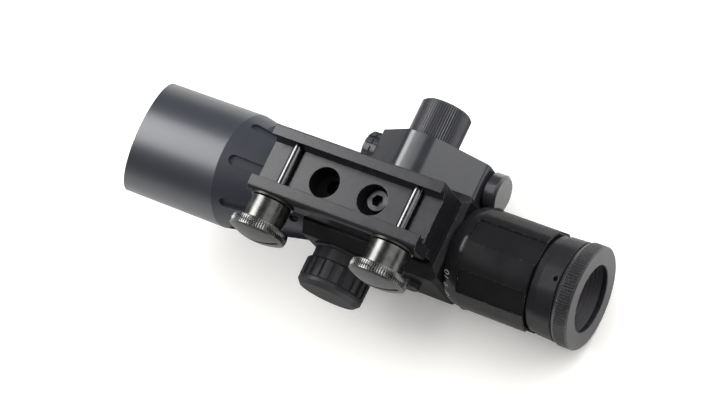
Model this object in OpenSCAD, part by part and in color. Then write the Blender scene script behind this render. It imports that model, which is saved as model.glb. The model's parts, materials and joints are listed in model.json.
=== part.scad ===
// Compact zoom sight with a side module and a built-on rail clamp, in millimetres.
// X points forward to the objective, Y to the left, Z up as the sight is used.
// The origin is the middle of the clamp floor, the face that sits on the rail.

/* [Optical tube] */
// Height of the optical axis above the clamp floor
axis_h = 29.8; // [28:0.1:34]
// Outer diameter of the objective bell
bell_d = 45; // [44:0.5:50]
// Station of the slanted sunshade mouth on the axis
mouth_x = 101.8; // [95:0.1:115]
// Slant of the mouth, longer on top
mouth_tilt = 18.2; // [0:0.1:25]
// Station where the straight bell meets the taper
seam_x = 57.5; // [50:0.5:62]
// Outer diameter of the taper where it meets the block
taper_d = 29.4; // [28:0.1:32]
// Number of flutes round the taper
flute_count = 8; // [4:1:10]

/* [Centre block] */
// Front face of the block
block_front_x = 18; // [16:0.5:20]
// Rear edge of the block, where its end bevel starts
block_rear_x = -36.4; // [-37:0.1:-35]
// Width and height of the block
block_w = 34; // [33:0.5:36]
// Bevel on the four long edges of the block
block_bevel = 4.2; // [2:0.1:6]

/* [Zoom ring and eyepiece] */
// Diameter over the raised lands of the zoom ring
zoom_d = 38.6; // [38:0.1:42]
// Front end of the zoom ring's lands
zoom_front_x = -44.8; // [-46:0.1:-44]
// Rear end of the zoom ring
zoom_rear_x = -71.7; // [-72:0.1:-70]
// Number of raised lands round the zoom ring
land_count = 6; // [4:1:8]
// Turn of the zoom ring from its lowest to its highest power
zoom_turn = 101; // [90:1:150]
// Rear face of the eyepiece
eye_face_x = -88.8; // [-91:0.1:-88]
// Diameter of the knurled focus ring
focus_d = 38.4; // [38:0.1:41]
// Diameter of the eye opening
eye_hole_d = 25; // [20:0.5:26]
// Teeth round the focus ring
focus_teeth = 110; // [60:2:140]

/* [Rail clamp] */
// Width of the rail across its widest edges
rail_w = 21.2; // [21:0.01:21.3]
// Width of the flat top of the rail
rail_top_w = 15.67; // [15:0.01:16]
// Length of the clamp along the rail
clamp_len = 70; // [64:1:80]
// Distance between the two cross bolts, five rail slots
bolt_pitch = 50.04; // [50.04:10.008:50.04]
// Diameter of the cross bolts
bolt_d = 4; // [3.5:0.1:4.5]
// How far the movable jaw stands inside its place on a rail
jaw_shut = 1.4; // [0:0.1:1.4]
// Diameter of the thumb nut's shank
nut_d = 15.3; // [14:0.1:16]
// Diameter of the thumb nut's knurled flange
nut_flange_d = 22; // [20:0.1:23]

/* [Turrets] */
// Station of both turrets along the tube
turret_x = 4; // [2:0.1:6]
// Diameter of a turret knob over its ribs
turret_d = 25.3; // [24:0.1:27]
// Ribs round a turret knob
turret_ribs = 20; // [12:1:28]

/* [Side module] */
// Left face of the module housing
module_y = 32.1; // [31.5:0.1:34]
// Station of the brightness knob
knob_x = -7.5; // [-9:0.1:-6]
// Diameter of the brightness knob
knob_d = 19.9; // [18:0.1:21]
// Height of the brightness knob
knob_h = 16.3; // [12:0.1:18]
// Teeth round the brightness knob
knob_teeth = 64; // [40:2:80]
// The module's own axis, to the left of the optical axis
bore_y = 25.4; // [25:0.1:26]
// The module's own axis, above the optical axis
bore_rise = 3.6; // [3:0.1:4]

/* [Hidden] */

$fn = 72;
tiny = 0.01;
// Radial play of a turning or sliding fit, and the gap between bodies
fit = 0.08;
gap = 0.3;

// Finishes as the photograph shows them
anodised = [0.10, 0.10, 0.115];
anodised_light = [0.17, 0.17, 0.19];
coated_glass = [0.45, 0.30, 0.42, 0.5];
bright_steel = [0.62, 0.62, 0.60];
black_steel = [0.22, 0.22, 0.22];
brass_tone = [0.60, 0.50, 0.28];

bell_r = bell_d / 2;
taper_r = taper_d / 2;
taper_slope = (bell_r - taper_r) / (seam_x - block_front_x);
taper_angle = atan(taper_slope);
half_w = block_w / 2;
rear_bevel_len = 1.9;
block_bottom = axis_h - half_w;
block_end_x = block_rear_x - rear_bevel_len;

// Bores and tubes along the optical axis
shade_r = bell_r - 1.9;
lens_bore_r = 20;
lens_seat_x = 72;
shade_floor_x = 80.8;
tube_bore_r = 12.2;
tube_fit_r = tube_bore_r - 0.05;
rear_tube_r = 14.6;
rear_tube_end = zoom_rear_x - gap;
erector_r = 9.6;
erector_bore_r = 8.4;
sleeve_r = 10.8;
screw_x = -56;
cell_bore_r = 16;
cell_rear_r = 14.4;

// Clamp profile, from the rail
rail_half = rail_w / 2;
rail_top = rail_top_w / 2;
rail_drop = rail_half - rail_top;
lip_y = 8.9;
lip_z = -5.5;
lip_contact_z = -rail_drop - (rail_half - lip_y);
base_half = 13.1;
base_flank_y = -11.2;
shelf_z = 6.9;
front_plate_z = 8.6;
base_right_y = -(rail_half - jaw_shut) + gap;
seat_right_y = -(lip_y - jaw_shut) + 0.1;
seat_relief = 0.5;
bolt_z = -0.8;
jaw_outer_y = -13.2;
washer_t = 0.8;
nut_y = jaw_outer_y - washer_t - 0.1;
bolt_end_y = -25.5;
head_r = 3.4;
head_depth = 1.7;
base_hole_x = 10;
base_hole_r = 5.9;
screw_offset = [-0.3, 0.8];
screw_seat_z = 8.2;

// Turret heights above the face of the block
turret_ring_h = 1;
turret_neck_h = 5.2;
turret_knob_h = 10.9;
post_r = 3.6;
spindle_r = 2.4;

// Side module
bore_r = 5.95;
bore_z = axis_h + bore_rise;
housing_front_x = 10.2;
housing_rear_x = -34.9;
housing_depth = 18.2;
keel_front_x = -5.9;
keel_rear_x = -15.6;
module_seat_x = -2;
battery_seat_x = -13;
dial_r = 7.1;
dial_front_x = 16.4;
button_r = 7.6;
button_bevel = 0.95;
button_face_x = -40.8;
button_travel = 0.8;

// Turns a profile of [radius, station] points round the optical axis
module turned(profile) {
    along_axis() rotate_extrude() polygon(profile);
}

// Local Z runs forward, and angle 0 points down with 90 degrees to the left
module along_axis(y = 0, z = axis_h) {
    translate([0, y, z]) rotate([0, 90, 0]) children();
}

// Local Z runs out of the right side of the block, towards -Y
module out_right(x, z) {
    translate([x, 0, z]) rotate([90, 0, 0]) children();
}

// Local Z runs out of the left side of the block, towards +Y
module out_left(x, z) {
    translate([x, 0, z]) rotate([-90, 0, 0]) children();
}

// Extrudes a profile drawn in Y and Z along X
module rail_section(x0, x1) {
    translate([x0, 0, 0]) rotate([90, 0, 90]) linear_extrude(x1 - x0) children();
}

// A bar with round ends, lying along local X
module stadium(length, width) {
    square([length - width, width], center = true);
    for (side = [-1, 1])
        translate([side * (length - width) / 2, 0]) circle(d = width);
}

// V teeth cut round a cylinder that stands along local Z
module knurl_cut(radius, count, depth, z0, z1) {
    for (i = [0 : count - 1])
        rotate([0, 0, i * 360 / count]) translate([radius, 0, z0])
            linear_extrude(z1 - z0) rotate([0, 0, 45]) square(depth * 1.41, center = true);
}

// Centre of a round corner of radius r at b, between the edges b-a and b-c
function unit(v) = v / norm(v);
function corner_run(a, b, c, r) =
    r / tan(acos(unit(a - b) * unit(c - b)) / 2);
function corner_in(a, b, c, r) = b + unit(a - b) * corner_run(a, b, c, r);
function corner_out(a, b, c, r) = b + unit(c - b) * corner_run(a, b, c, r);
function corner_centre(a, b, c, r) =
    b + unit(unit(a - b) + unit(c - b)) * norm([corner_run(a, b, c, r), r]);

// A closed outline with a true arc at every corner
module rounded_outline(points, radii) {
    n = len(points);
    polygon([for (i = [0 : n - 1])
        let (a = points[(i + n - 1) % n], b = points[i], c = points[(i + 1) % n])
        each [corner_in(a, b, c, radii[i]), corner_out(a, b, c, radii[i])]]);
    for (i = [0 : n - 1])
        translate(corner_centre(points[(i + n - 1) % n], points[i],
                                points[(i + 1) % n], radii[i]))
            circle(radii[i]);
}

// Square section with its four long edges bevelled
module block_outline() {
    flat = half_w - block_bevel;
    translate([0, axis_h]) polygon([
        [-flat, -half_w], [flat, -half_w], [half_w, -flat], [half_w, flat],
        [flat, half_w], [-flat, half_w], [-half_w, flat], [-half_w, -flat]]);
}

// The block's rear end is bevelled on all four sides
module rear_bevel(turn) {
    end = half_w - (block_rear_x - block_end_x);
    translate([0, 0, axis_h]) rotate([turn, 0, 0]) rotate([90, 0, 0])
        linear_extrude(3 * block_w, center = true) polygon([
            [block_front_x, -half_w], [block_front_x, half_w],
            [block_rear_x, half_w], [block_end_x, end],
            [block_end_x, -end], [block_rear_x, -half_w]]);
}

// Sector swept by the zoom drive screw, for its slot in the rear tube
module drive_sector() {
    from = drive_turn - zoom_turn - 9;
    to = drive_turn + 9;
    polygon([[0, 0], 80 * [cos(from), sin(from)], 80 * [cos((from + to) / 2), sin((from + to) / 2)],
             80 * [cos(to), sin(to)]]);
}

module main_body() {
    color(anodised) difference() {
        union() {
            intersection() {
                rail_section(block_end_x, block_front_x) block_outline();
                rear_bevel(0);
                rear_bevel(90);
            }
            turned([[tube_bore_r, rear_tube_end], [rear_tube_r, rear_tube_end],
                    [rear_tube_r, block_end_x + 2], [tube_bore_r, block_end_x + 2]]);
        }
        turned([[0, rear_tube_end - 1], [tube_bore_r, rear_tube_end - 1],
                [tube_bore_r, block_front_x + 1], [0, block_front_x + 1]]);
        // The drive screw's slot spans the zoom ring's travel
        intersection() {
            turned([[tube_bore_r - 1, screw_x - 2], [rear_tube_r + 1, screw_x - 2],
                    [rear_tube_r + 1, screw_x + 2], [tube_bore_r - 1, screw_x + 2]]);
            along_axis() linear_extrude(200, center = true) drive_sector();
        }
        for (side = [0, 1])
            turret_place(side) translate([0, 0, -8]) cylinder(r = spindle_r + 0.6, h = 9);
        for (x = [-base_hole_x, base_hole_x])
            translate([x + screw_offset[0], screw_offset[1], block_bottom - 1])
                cylinder(r = 2.55, h = 5.2);
        out_right(side_plug_x, axis_h) translate([0, 0, half_w - 3]) cylinder(r = 2.5, h = 4);
    }
}

// Right-hand turret for windage, top turret for elevation
module turret_place(top) {
    if (top == 1) translate([turret_x, 0, axis_h + half_w]) children();
    else out_right(turret_x, axis_h) translate([0, 0, half_w]) children();
}

// Bell, slanted sunshade and fluted taper, turned from one bar
flute_len = 25.5;
flute_w = 4;
flute_depth = 1.2;
flute_mid_x = 41.7;
flute_turn = -6;
module objective_bell() {
    color(anodised_light) difference() {
        turned([[taper_r, block_front_x], [bell_r, seam_x], [bell_r, mouth_x + 12],
                [shade_r, mouth_x + 12], [shade_r, shade_floor_x], [lens_bore_r, shade_floor_x],
                [lens_bore_r, lens_seat_x], [lens_bore_r - 1.8, lens_seat_x],
                [lens_bore_r - 1.8, seam_x + 1.5],
                [tube_bore_r, block_front_x + 5], [tube_bore_r, block_front_x]]);
        translate([mouth_x, 0, axis_h]) rotate([0, mouth_tilt, 0])
            translate([0, -bell_d, -2 * bell_d]) cube([2 * bell_d, 2 * bell_d, 4 * bell_d]);
        for (i = [0 : flute_count - 1])
            along_axis() rotate([0, 0, flute_turn + i * 360 / flute_count])
                translate([taper_r + taper_slope * (flute_mid_x - block_front_x), 0, flute_mid_x])
                    rotate([0, 90 + taper_angle, 0]) translate([0, 0, -flute_depth])
                        linear_extrude(6) stadium(flute_len, flute_w);
        purge_place() translate([0, 0, -2.2]) cylinder(r = 1.75, h = 6);
    }
}

// Purge screw on the lower right of the taper, square to its surface
purge_x = 25;
purge_turn = -50;
module purge_place() {
    along_axis() rotate([0, 0, purge_turn])
        translate([taper_r + taper_slope * (purge_x - block_front_x), 0, purge_x])
            rotate([0, 90 + taper_angle, 0]) children();
}

module purge_screw() {
    color(black_steel) purge_place() translate([0, 0, -2.2]) difference() {
        cylinder(r = 1.7, h = 1.5);
        translate([-2, -0.3, 0.9]) cube([4, 0.6, 1]);
    }
}

// Front element: flat against its seat, domed to the front
lens_dome_r = 70;
lens_front_x = 79;
lens_r = lens_bore_r - 0.1;
module objective_lens() {
    color(coated_glass) intersection() {
        turned([[0, lens_seat_x], [lens_r, lens_seat_x],
                [lens_r, lens_front_x + 1], [0, lens_front_x + 1]]);
        along_axis() translate([0, 0, lens_front_x - lens_dome_r]) sphere(lens_dome_r);
    }
}

// Threaded ring that holds the front element, with two spanner notches
module objective_ring() {
    back = lens_front_x - 2.35;
    color(anodised) difference() {
        turned([[lens_bore_r - 1.6, back], [lens_bore_r, back], [lens_bore_r, back + 4],
                [lens_bore_r - 0.8, back + 4], [lens_bore_r - 1.6, back + 3]]);
        for (side = [0, 180])
            along_axis() rotate([0, 0, side]) translate([lens_bore_r - 3, -0.8, back + 2.6])
                cube([2.4, 1.6, 3]);
    }
}

// Image-erecting tube, held by its rear flange and steered at its front end
erector_front_x = 11;
erector_rear_x = -65;
module erector_tube() {
    color(anodised_light) turned([
        [erector_bore_r, erector_rear_x], [tube_fit_r, erector_rear_x],
        [tube_fit_r, erector_rear_x + 3], [erector_r, erector_rear_x + 3],
        [erector_r, erector_front_x], [erector_bore_r, erector_front_x]]);
}

// Leaf spring that presses the erector tube against both turret screws
spring_w = 5;
spring_t = 0.4;
module erector_spring() {
    seat = tube_bore_r - 0.35;
    crown = erector_r + 0.05 + spring_t;
    outer = [[seat, -12], [crown, -3], [crown, 1], [seat, 8]];
    inner = [for (i = [3 : -1 : 0]) outer[i] - [spring_t, 0]];
    color(bright_steel) along_axis() rotate([0, 0, 45]) rotate([90, 0, 0])
        linear_extrude(spring_w, center = true) polygon(concat(outer, inner));
}

// Sleeve with the cam, turned by the zoom ring round the erector tube
module cam_sleeve() {
    color(brass_tone) difference() {
        turned([[erector_r + fit, screw_x - 5], [sleeve_r, screw_x - 5],
                [sleeve_r, -18], [erector_r + fit, -18]]);
        drive_screw_place() translate([0, 0, -20]) cylinder(r = 1.5, h = 40);
    }
}

// Lens cell that rides inside the erector tube
module erector_cell(front_x, length) {
    color(brass_tone) turned([
        [6.6, front_x - length], [erector_bore_r - fit, front_x - length],
        [erector_bore_r - fit, front_x], [7.4, front_x],
        [7.4, front_x - length + 1.5], [6.6, front_x - length + 1.5]]);
}

// Biconvex element seated on the step of its cell
module erector_lens(front_x, length) {
    back = front_x - length + 1.5;
    color(coated_glass) intersection() {
        turned([[0, back], [7.4, back], [7.4, back + 6], [0, back + 6]]);
        along_axis() translate([0, 0, back + 4 - 22]) sphere(22);
    }
}

front_cell_x = -22;
rear_cell_x = -42;
cell_len = 8;
module front_erector_cell() { erector_cell(front_cell_x, cell_len); }
module front_erector_lens() { erector_lens(front_cell_x, cell_len); }
module rear_erector_cell() { erector_cell(rear_cell_x, cell_len); }
module rear_erector_lens() { erector_lens(rear_cell_x, cell_len); }

// Etched glass at the rear image plane, against the erector tube's flange
module reticle() {
    color(coated_glass) turned([
        [0, erector_rear_x - 1.5], [tube_fit_r, erector_rear_x - 1.5],
        [tube_fit_r, erector_rear_x], [0, erector_rear_x]]);
}

// Turret base: foot ring, neck and the post that the knob turns on
module turret_base() {
    rotate_extrude() polygon([
        [spindle_r + fit, 0], [12.4, 0], [12.4, 0.6], [12, turret_ring_h],
        [11.4, turret_ring_h], [11.4, turret_neck_h], [post_r, turret_neck_h],
        [post_r, 12], [spindle_r + fit, 12]]);
}

// Adjusting screw that bears on the erector tube
module turret_spindle() {
    tip = half_w - erector_r - 1.4;
    translate([0, 0, -tip]) rotate_extrude() polygon([
        [0, 0], [1.2, 0], [spindle_r, 1], [spindle_r, tip + 10], [0, tip + 10]]);
}

// Ribbed knob with a smooth band and a bevelled end
rib_top = 12.6;
band_top = 14.4;
module turret_knob() {
    r = turret_d / 2;
    foot = turret_neck_h + gap;
    top = turret_neck_h + turret_knob_h;
    difference() {
        rotate_extrude() polygon([
            [0, 12.4], [post_r + fit, 12.4], [post_r + fit, foot], [r - 0.5, foot],
            [r, foot + 0.5], [r, rib_top], [r - 0.4, rib_top + 0.1],
            [r - 0.1, rib_top + 0.5], [r - 0.1, band_top], [r - 1.7, top], [0, top]]);
        for (i = [0 : turret_ribs - 1])
            rotate([0, 0, i * 360 / turret_ribs]) translate([r - 0.9, -1.05, foot - 1])
                cube([3, 2.1, rib_top - foot + 1]);
    }
}

module windage_base() { color(anodised_light) turret_place(0) turret_base(); }
module windage_spindle() { color(brass_tone) turret_place(0) turret_spindle(); }
module windage_knob() { color(anodised_light) turret_place(0) turret_knob(); }
module elevation_base() { color(anodised_light) turret_place(1) turret_base(); }
module elevation_spindle() { color(brass_tone) turret_place(1) turret_spindle(); }
module elevation_knob() { color(anodised_light) turret_place(1) turret_knob(); }

// Low plug on the right face of the block
side_plug_x = -24;
module side_plug() {
    color(black_steel) out_right(side_plug_x, axis_h) difference() {
        rotate_extrude() polygon([
            [0, half_w - 2.6], [2.45, half_w - 2.6], [2.45, half_w], [3.6, half_w],
            [3.6, half_w + 2], [3.1, half_w + 2.5], [0, half_w + 2.5]]);
        translate([-2.4, -0.4, half_w + 1.7]) cube([4.8, 0.8, 2]);
    }
}

// Boat-shaped side outline of the module housing, drawn in X and Z: deep below, flush above
module housing_outline() {
    bottom = -housing_depth;
    end_top = bore_rise + button_r + 0.4;
    rounded_outline(
        [[housing_front_x, end_top], [3.5, half_w], [-25, half_w], [housing_rear_x, end_top],
         [housing_rear_x, -5.8], [keel_rear_x, bottom], [keel_front_x, bottom], [housing_front_x, -5]],
        [0.8, 7, 7, 3, 3, 10, 7, 0.8]);
}

// Housing on the left face, bored end to end along the tube
module side_housing() {
    color(anodised_light) difference() {
        translate([0, module_y, axis_h]) rotate([90, 0, 0])
            linear_extrude(module_y - half_w) housing_outline();
        along_axis(bore_y, bore_z) {
            translate([0, 0, module_seat_x]) cylinder(r = bore_r, h = 20);
            translate([0, 0, -50]) cylinder(r = bore_r, h = 50 + battery_seat_x);
            translate([0, 0, -20]) cylinder(r = 4.6, h = 30);
        }
        out_left(knob_x, axis_h) translate([0, 0, 26]) cylinder(r = 3 + fit, h = 10);
    }
}

// Light source with its own lens tube, seated in the front bore
module light_module() {
    color(brass_tone) along_axis(bore_y, bore_z) difference() {
        translate([0, 0, module_seat_x]) cylinder(r = bore_r - 0.05, h = 8);
        translate([0, 0, module_seat_x + 4]) cylinder(r = 2.4, h = 8);
    }
}

// Three button cells in a row, seated in the rear bore
module battery_stack() {
    color(bright_steel) along_axis(bore_y, bore_z) rotate([180, 0, 0])
        for (i = [0 : 2]) translate([0, 0, -battery_seat_x + i * 5.4]) {
            cylinder(r = 5.8, h = 4.6);
            translate([0, 0, 4.6 - tiny]) cylinder(r = 4.9, h = 0.8 + tiny);
        }
}

// Finely knurled knob on the left face of the housing
module brightness_knob() {
    r = knob_d / 2;
    foot = module_y + gap;
    top = foot + knob_h;
    color(anodised_light) out_left(knob_x, axis_h) difference() {
        rotate_extrude() polygon([
            [0, 29.5], [3, 29.5], [3, foot], [r - 0.5, foot], [r, foot + 0.5],
            [r, top - 1], [r - 1, top], [0, top]]);
        knurl_cut(r + 0.08, knob_teeth, 0.45, foot + 1.4, top + 1);
    }
}

// Ribbed dial at the front of the module: two rows of blocks round a sleeve
dial_ribs = 14;
module aim_dial() {
    back = housing_front_x + gap;
    color(anodised) along_axis(bore_y, bore_z) difference() {
        rotate_extrude() polygon([
            [4.2, 6.6], [bore_r - fit, 6.6], [bore_r - fit, back], [dial_r - 0.3, back],
            [dial_r, back + 0.3], [dial_r, back + 2.3], [dial_r - 0.7, back + 2.3],
            [dial_r - 0.7, back + 3], [dial_r, back + 3], [dial_r, dial_front_x - 0.5],
            [dial_r - 0.5, dial_front_x], [5.2, dial_front_x], [5.2, dial_front_x - 1.4],
            [4.2, dial_front_x - 1.4]]);
        for (i = [0 : dial_ribs - 1])
            rotate([0, 0, i * 360 / dial_ribs]) translate([dial_r - 0.7, -0.6, back - 1])
                cube([2, 1.2, 8]);
    }
}

// Clear disc in the mouth of the dial
module dial_window() {
    color(coated_glass) along_axis(bore_y, bore_z)
        translate([0, 0, dial_front_x - 1.4]) cylinder(r = 5.15, h = 0.9);
}

// Plain bevelled push switch behind the batteries
module tail_button() {
    front = housing_rear_x - button_travel - gap;
    color(anodised_light) along_axis(bore_y, bore_z) rotate_extrude() polygon([
        [0, button_face_x], [button_r - button_bevel, button_face_x],
        [button_r, button_face_x + button_bevel],
        [button_r, front], [bore_r - fit, front], [bore_r - fit, front + 5], [0, front + 5]]);
}

// Round shoulder of the zoom ring, which carries the numbers
shoulder_front_x = -38.6;
shoulder_front_r = 16.8;
shoulder_r = zoom_d / 2 - 0.4;
shoulder_run = shoulder_front_x - zoom_front_x;
shoulder_rise = shoulder_r - shoulder_front_r;
shoulder_arc = (shoulder_run ^ 2 + shoulder_rise ^ 2) / (2 * shoulder_rise);
module zoom_shoulder() {
    inner = rear_tube_r + fit;
    along_axis() rotate_extrude() intersection() {
        translate([inner, zoom_front_x - 1]) square([shoulder_r - inner + 1, shoulder_run + 1]);
        translate([shoulder_r - shoulder_arc, zoom_front_x]) circle(shoulder_arc);
    }
}

// Zoom ring: round shoulder in front, raised lands and flat flutes behind
module zoom_ring() {
    r = zoom_d / 2;
    pitch = 360 / land_count;
    flat_r = r - 1.2;
    flat_w = 2 * flat_r * tan(pitch / 4);
    color(anodised) difference() {
        union() {
            turned([[rear_tube_r + fit, zoom_rear_x], [r - 0.4, zoom_rear_x],
                    [r, zoom_rear_x + 0.4], [r, zoom_front_x - 0.3], [r - 0.3, zoom_front_x],
                    [rear_tube_r + fit, zoom_front_x]]);
            zoom_shoulder();
        }
        for (i = [0 : land_count - 1])
            along_axis() rotate([0, 0, (i + 0.25) * pitch])
                translate([flat_r, -flat_w / 2, zoom_rear_x - 1])
                    cube([5, flat_w, zoom_front_x - zoom_rear_x + 0.7]);
        drive_screw_place() translate([0, 0, rear_tube_r - 3]) cylinder(r = 1.5, h = 10);
        drive_screw_place() translate([0, 0, 17]) cylinder(r = 2.6, h = 10);
    }
}

// The drive screw sits on the far side of the ring from the clamp
drive_turn = 195;
module drive_screw_place() {
    along_axis() translate([0, 0, screw_x]) rotate([0, 0, drive_turn]) rotate([0, 90, 0]) children();
}

module zoom_drive_screw() {
    color(black_steel) drive_screw_place() difference() {
        union() {
            translate([0, 0, erector_r + 0.4]) cylinder(r = 1.42, h = 17.05 - erector_r - 0.4);
            translate([0, 0, 17]) cylinder(r = 2.5, h = 1.5);
        }
        translate([-3, -0.3, 17.9]) cube([6, 0.6, 2]);
    }
}

// Fixed part of the eyepiece: neck, shoulder and smooth ring
tube_rear_x = -82;
module eyepiece_tube() {
    front = rear_tube_end;
    color(anodised) difference() {
        turned([[tube_bore_r, front], [17.3, front], [17.7, front - 0.4], [17.7, front - 2.8],
                [18.3, front - 3.2], [18.6, tube_rear_x + 0.3], [18.3, tube_rear_x],
                [cell_bore_r, tube_rear_x], [cell_bore_r, front - 1.5], [tube_bore_r, front - 1.5]]);
        lock_screw_place() translate([0, 0, 14]) cylinder(r = 1, h = 6);
    }
}

lock_screw_x = -80.6;
module lock_screw_place() {
    along_axis() translate([0, 0, lock_screw_x]) rotate([0, 0, -5.5]) rotate([0, 90, 0]) children();
}

// Grub screw, sunk below the surface of the ring
module lock_screw() {
    color(black_steel) lock_screw_place() difference() {
        translate([0, 0, cell_bore_r + 0.3]) cylinder(r = 0.97, h = 1.4);
        translate([0, 0, cell_bore_r + 0.9]) cylinder(r = 0.5, h = 2, $fn = 6);
    }
}

// Sliding cell of the eye lens, carried by the focus ring
cell_front_x = -75.6;
eye_seat_x = -77.4;
module eye_cell() {
    color(anodised_light) turned([
        [11.4, cell_front_x], [cell_bore_r - fit, cell_front_x],
        [cell_bore_r - fit, tube_rear_x], [cell_rear_r, tube_rear_x],
        [cell_rear_r, -86.4], [13.4, -86.4], [13.4, eye_seat_x], [11.4, eye_seat_x]]);
}

// Eye lens: flat on its seat, domed to the eye
module eye_lens() {
    color(coated_glass) intersection() {
        turned([[0, eye_seat_x - 8], [13.35, eye_seat_x - 8], [13.35, eye_seat_x], [0, eye_seat_x]]);
        along_axis() translate([0, 0, eye_seat_x - 5 + 34]) sphere(34);
    }
}

// Stepped ring that holds the eye lens
module eye_lock_ring() {
    front = eye_seat_x - 3;
    color(anodised) turned([
        [11.6, front], [13.4, front], [13.4, front - 4], [12.7, front - 4],
        [12.7, front - 2.8], [12.1, front - 2.8], [12.1, front - 1.4], [11.6, front - 1.4]]);
}

// Knurled end ring that turns to focus
module focus_ring() {
    r = focus_d / 2;
    front = tube_rear_x - 0.4;
    lip = eye_hole_d / 2;
    color(anodised) difference() {
        turned([[cell_rear_r + fit, front], [18.4, front], [r, front - 1.4], [r, eye_face_x + 0.5],
                [r - 0.5, eye_face_x], [lip + 0.2, eye_face_x], [lip, eye_face_x + 0.2],
                [lip, eye_face_x + 1], [lip + 0.7, eye_face_x + 1.2],
                [lip + 0.7, -86.8], [cell_rear_r + fit, -86.8]]);
        along_axis() knurl_cut(r + 0.08, focus_teeth, 0.42, eye_face_x + 0.6, front + 1);
    }
}

// Fixed half of the clamp in section: floor, shelf and the left jaw
module base_section() {
    polygon([
        [base_right_y, seat_relief], [seat_right_y, seat_relief], [seat_right_y, 0],
        [rail_top, 0], [rail_half, -rail_drop], [lip_y, lip_contact_z],
        [lip_y, lip_z], [base_half - 0.5, lip_z], [base_half, lip_z + 0.5],
        [base_half, block_bottom], [base_flank_y, block_bottom], [base_flank_y, shelf_z],
        [base_right_y, shelf_z]]);
}

module clamp_base() {
    half = clamp_len / 2;
    color(anodised_light) difference() {
        rail_section(-half, half) base_section();
        // The taper of the bell clears the front of the plate
        translate([block_front_x - 0.3, -50, front_plate_z]) cube([60, 100, 60]);
        for (x = [-1, 1] * bolt_pitch / 2) {
            translate([x - 2.5, -50, -20]) cube([5, 50 + rail_top, 21.5]);
            translate([x, 0, bolt_z]) rotate([-90, 0, 0]) cylinder(r = bolt_d / 2 + 0.05, h = 40);
            translate([x, base_half - head_depth, bolt_z]) rotate([-90, 0, 0])
                cylinder(r = head_r + 0.1, h = 10);
        }
        for (x = [-base_hole_x, base_hole_x]) {
            translate([x, -0.4, -1]) cylinder(r = base_hole_r, h = screw_seat_z + 1);
            translate([x + screw_offset[0], screw_offset[1], 0]) cylinder(r = 2.75, h = 40);
        }
    }
}

// Socket head screw in the rear hole, seen from below
module base_screw() {
    top = block_bottom + 4;
    color(black_steel)
        translate([-base_hole_x + screw_offset[0], screw_offset[1], screw_seat_z]) difference() {
            union() {
                cylinder(r = 2.5, h = top - screw_seat_z);
                translate([0, 0, -4.6]) rotate_extrude() polygon([
                    [0, 0], [3.9, 0], [4.25, 0.35], [4.25, 4.6], [0, 4.6]]);
            }
            translate([0, 0, -5]) cylinder(d = 4.6, h = 3.2, $fn = 6);
        }
}

// Bright cross bolts, with heads sunk into the left jaw
module cross_bolts() {
    color(bright_steel)
        for (x = [-1, 1] * bolt_pitch / 2)
            translate([x, 0, bolt_z]) rotate([-90, 0, 0]) rotate_extrude() polygon([
                [0, bolt_end_y], [bolt_d / 2 - 0.4, bolt_end_y],
                [bolt_d / 2, bolt_end_y + 0.4], [bolt_d / 2, base_half - head_depth],
                [head_r, base_half - head_depth], [head_r, base_half - 0.5],
                [head_r - 0.4, base_half - 0.1], [0, base_half - 0.1]]);
}

// Movable jaw in section, at its place in the photograph
module jaw_section() {
    wall = -rail_half + jaw_shut;
    tip = -lip_y + jaw_shut;
    rounded_outline(
        [[tip, lip_z], [tip, lip_contact_z], [wall, -rail_drop], [wall, shelf_z - gap],
         [jaw_outer_y, shelf_z - gap], [jaw_outer_y, lip_z]],
        [0.15, 0.15, 0.15, 0.3, 1.7, 2.6]);
}

module clamp_jaw() {
    half = clamp_len / 2;
    color(anodised) difference() {
        rail_section(-half, half) jaw_section();
        for (x = [-1, 1] * bolt_pitch / 2)
            translate([x, 0, bolt_z]) rotate([90, 0, 0]) cylinder(r = bolt_d / 2 + fit, h = 30);
    }
}

module jaw_washers() {
    color(bright_steel)
        for (x = [-1, 1] * bolt_pitch / 2)
            translate([x, jaw_outer_y, bolt_z]) rotate([90, 0, 0]) difference() {
                cylinder(r = nut_d / 2 + 0.5, h = washer_t);
                translate([0, 0, -1]) cylinder(r = bolt_d / 2 + fit, h = washer_t + 2);
            }
}

// Thumb nut: plain shank, knurled flange and a domed end with a coin slot
shank_h = 9;
flange_top = 12.9;
dome_h = 2.4;
module thumb_nut(x) {
    r = nut_d / 2;
    flange_r = nut_flange_d / 2;
    dome_foot_r = flange_r - 0.6;
    dome_r = (dome_foot_r * dome_foot_r + dome_h * dome_h) / (2 * dome_h);
    color(black_steel) translate([x, nut_y, bolt_z]) rotate([90, 0, 0]) difference() {
        intersection() {
            rotate_extrude() polygon([
                [bolt_d / 2 + fit, 0], [r - 0.4, 0], [r, 0.4], [r, shank_h],
                [flange_r - 0.5, shank_h], [flange_r, shank_h + 0.6],
                [flange_r, flange_top - 0.6], [dome_foot_r, flange_top],
                [dome_foot_r, flange_top + dome_h], [0, flange_top + dome_h],
                [0, flange_top - 0.4], [bolt_d / 2 + fit, flange_top - 0.4]]);
            translate([0, 0, flange_top + dome_h - dome_r]) union() {
                sphere(dome_r);
                translate([0, 0, -60]) cylinder(r = 60, h = 60 + dome_r - dome_h);
            }
        }
        knurl_cut(flange_r + 0.08, 60, 0.45, shank_h - 1, flange_top + 1);
        translate([-30, -0.8, flange_top + dome_h - 2]) cube([60, 1.6, 10]);
    }
}

module front_thumb_nut() { thumb_nut(bolt_pitch / 2); }
module rear_thumb_nut() { thumb_nut(-bolt_pitch / 2); }

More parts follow.
